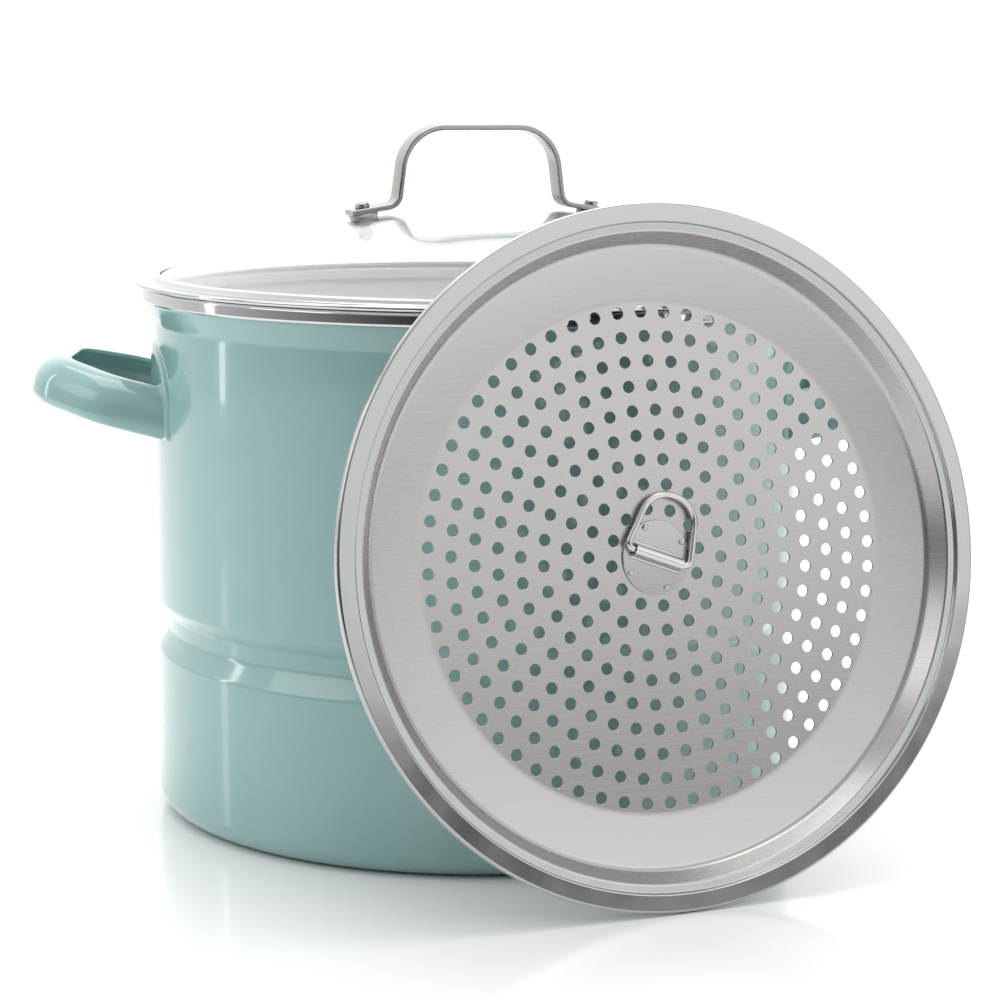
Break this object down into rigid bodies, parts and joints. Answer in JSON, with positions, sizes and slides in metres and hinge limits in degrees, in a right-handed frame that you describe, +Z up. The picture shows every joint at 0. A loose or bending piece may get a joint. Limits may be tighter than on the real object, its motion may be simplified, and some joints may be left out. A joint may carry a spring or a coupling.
{
  "type": "stock pot with steamer rack",
  "caption": "Enamelled round stock pot with loop handles, a domed glass lid and a perforated steel steamer rack that leans against it.",
  "frame": {"origin": "centre of the pot's flat base, on the floor", "axes": "+Z up along the pot's axis, side handles along X, the leaning rack towards -Y"},
  "size_m": [0.4098, 0.3846, 0.3096],
  "materials": {
    "enamel": "glossy vitreous enamel",
    "polished_steel": "polished",
    "brushed_steel": "brushed",
    "lid_glass": "clear tempered",
    "silicone": "translucent"
  },
  "bodies": {
    "pot": {"pot_shell": "enamel", "rim_trim": "polished_steel", "left_handle_loop": "enamel", "left_handle_pad": "enamel", "right_handle_loop": "enamel", "right_handle_pad": "enamel"},
    "lid": {"lid_glass": "lid_glass", "lid_ring": "polished_steel", "lid_handle": "polished_steel", "left_foot_screw": "polished_steel", "left_foot_gasket": "silicone", "left_under_gasket": "silicone", "left_under_washer": "polished_steel", "left_cap_nut": "polished_steel", "right_foot_screw": "polished_steel", "right_foot_gasket": "silicone", "right_under_gasket": "silicone", "right_under_washer": "polished_steel", "right_cap_nut": "polished_steel"},
    "rack": {"rack_plate": "brushed_steel", "lifter_saddle": "brushed_steel", "lifter_rivets": "brushed_steel"},
    "lifter": {"lifter_ring": "polished_steel"}
  },
  "joints": [
    {"name": "lid_lift", "type": "slide", "parent": "pot", "child": "lid", "axis": [0, 0.2, 0.9798], "range_m": [0, 0.2]},
    {"name": "rack_take_off", "type": "slide", "parent": "pot", "child": "rack", "axis": [0.4, -0.9026, 0.159], "range_m": [0, 0.2]},
    {"name": "lifter_hinge", "type": "hinge", "parent": "rack", "child": "lifter", "pos_m": [0.07462, -0.15853, 0.14001], "axis": [0.8794, 0.3291, -0.3441], "range_deg": [0, 178]}
  ]
}
